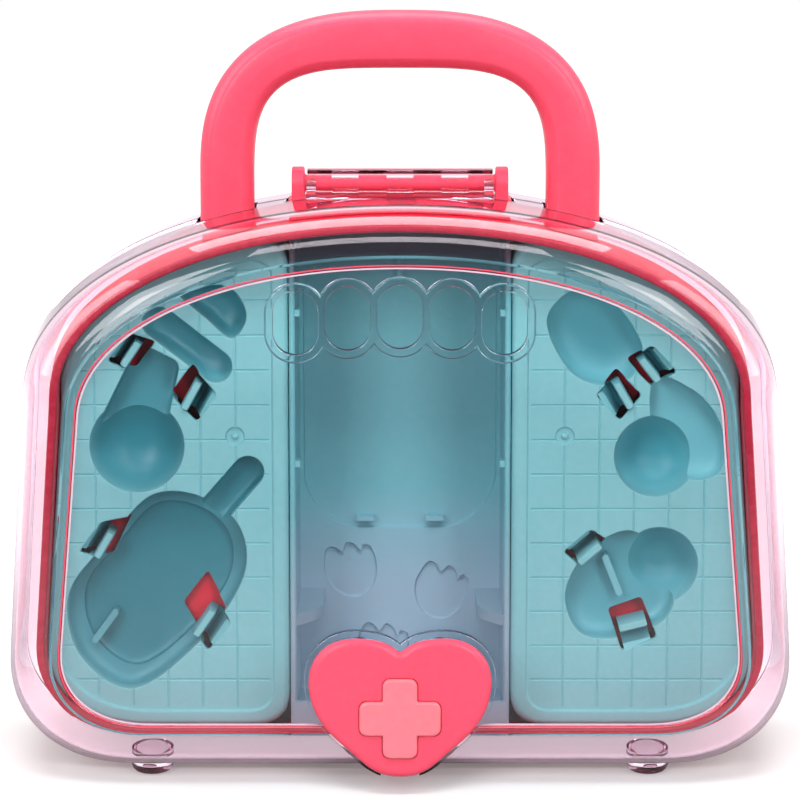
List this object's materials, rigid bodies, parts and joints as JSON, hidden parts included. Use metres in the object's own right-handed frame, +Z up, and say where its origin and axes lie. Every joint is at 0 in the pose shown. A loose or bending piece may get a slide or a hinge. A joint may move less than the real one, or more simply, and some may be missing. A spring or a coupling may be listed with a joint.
{
  "type": "toy vet carry case",
  "caption": "Toy vet carry case with an arched handle, a clear lid hinged at the top, tool trays either side of a pet bay, and a heart-shaped latch.",
  "frame": {"origin": "on the floor under the middle of the case, in the plane where the lid meets the rear shell", "axes": "+Z up, -Y out of the lid's face, +X to the right as seen from the lid's side"},
  "size_m": [0.2596, 0.108, 0.2512],
  "materials": {
    "core_tub": "moulded coral pink plastic, satin gloss",
    "rear_shell": "clear moulded plastic, polished",
    "handle_front_half": "moulded coral pink plastic, satin gloss",
    "handle_rear_half": "moulded coral pink plastic, satin gloss",
    "screws": "zinc plated steel",
    "hinge_bracket": "moulded coral pink plastic, satin gloss",
    "left_tool_tray": "moulded teal plastic, satin",
    "right_tool_tray": "moulded teal plastic, satin",
    "bay_liner": "moulded teal plastic, satin",
    "feet": "clear moulded plastic, polished",
    "lid_shell": "clear moulded plastic, polished",
    "latch_pin": "drawn steel pin",
    "heart_latch": "moulded coral pink plastic, satin gloss",
    "latch_cross": "moulded light pink plastic, satin"
  },
  "bodies": {
    "case": {"core_tub": "core_tub", "rear_shell": "rear_shell", "handle_front_half": "handle_front_half", "handle_rear_half": "handle_rear_half", "handle_screw_left": "screws", "handle_screw_right": "screws", "hinge_bracket": "hinge_bracket", "left_tool_tray": "left_tool_tray", "right_tool_tray": "right_tool_tray", "bay_liner": "bay_liner", "rear_left_foot": "feet", "rear_right_foot": "feet", "rear_screw_low_left": "screws", "rear_screw_low_right": "screws", "rear_screw_high_left": "screws", "rear_screw_high_right": "screws"},
    "lid": {"lid_shell": "lid_shell", "front_left_foot": "feet", "front_right_foot": "feet", "latch_pin": "latch_pin"},
    "latch": {"heart_latch": "heart_latch", "latch_cross": "latch_cross"}
  },
  "joints": [
    {"name": "lid_hinge", "type": "hinge", "parent": "case", "child": "lid", "pos_m": [0, 0, 0.1946], "axis": [-1, 0, 0], "range_deg": [0, 90]},
    {"name": "latch_flip", "type": "hinge", "parent": "lid", "child": "latch", "pos_m": [0, -0.0455, 0.0425], "axis": [-1, 0, 0], "range_deg": [0, 15]}
  ]
}
